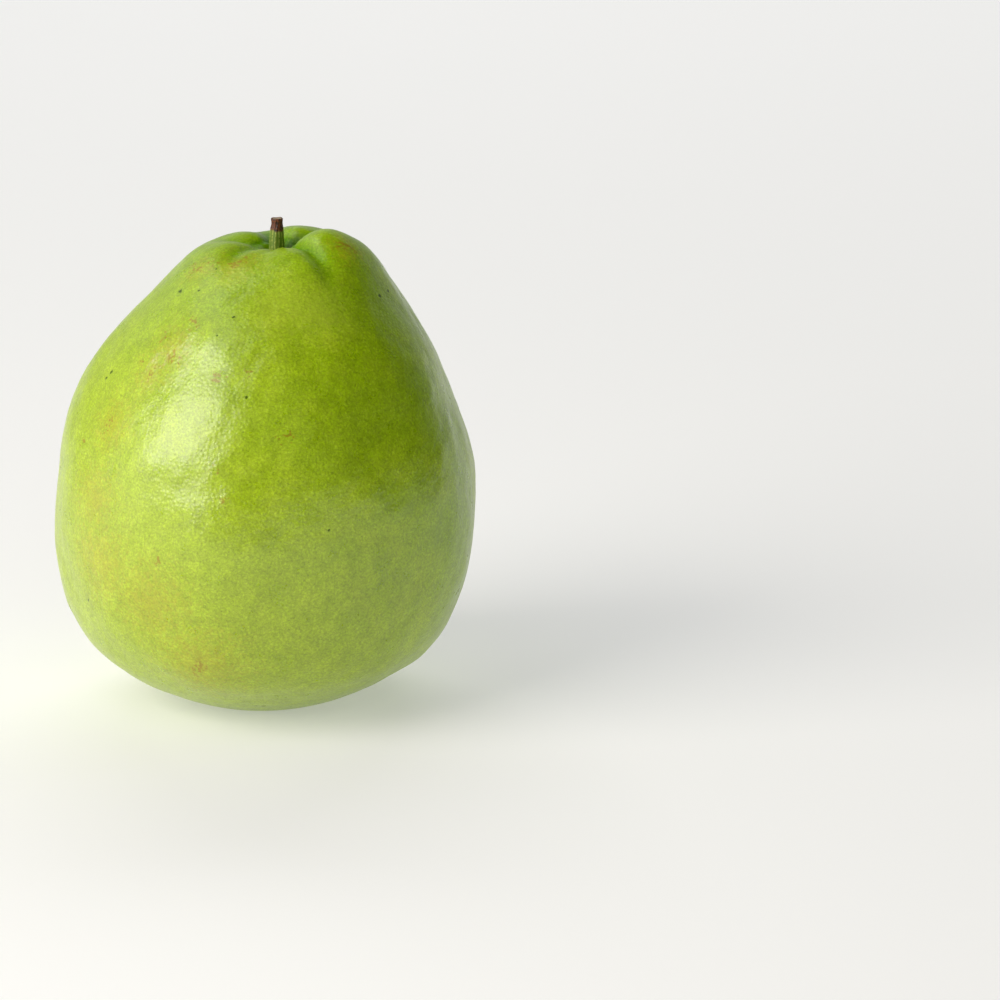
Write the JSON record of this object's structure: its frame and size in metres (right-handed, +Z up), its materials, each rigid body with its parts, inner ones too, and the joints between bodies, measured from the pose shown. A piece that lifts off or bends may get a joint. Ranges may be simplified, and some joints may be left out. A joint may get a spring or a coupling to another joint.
{
  "type": "guava fruit",
  "caption": "Whole broad green guava with a puckered dimple round its short cut stem, standing on a small flat ring round the dried calyx.",
  "frame": {"origin": "on the table, under the middle of the fruit's girth", "axes": "+Z up from the blossom end to the stem; -Y is the front, the side that is seen; +X is the side that the stem end leans to"},
  "size_m": [0.098, 0.0988, 0.1133],
  "materials": {
    "skin": null,
    "stem": "green ribbed stalk with a dry brown end",
    "calyx": "dry, brown and papery"
  },
  "bodies": {
    "root": {"fruit": "skin", "stem": "stem", "calyx": "calyx"}
  },
  "joints": []
}
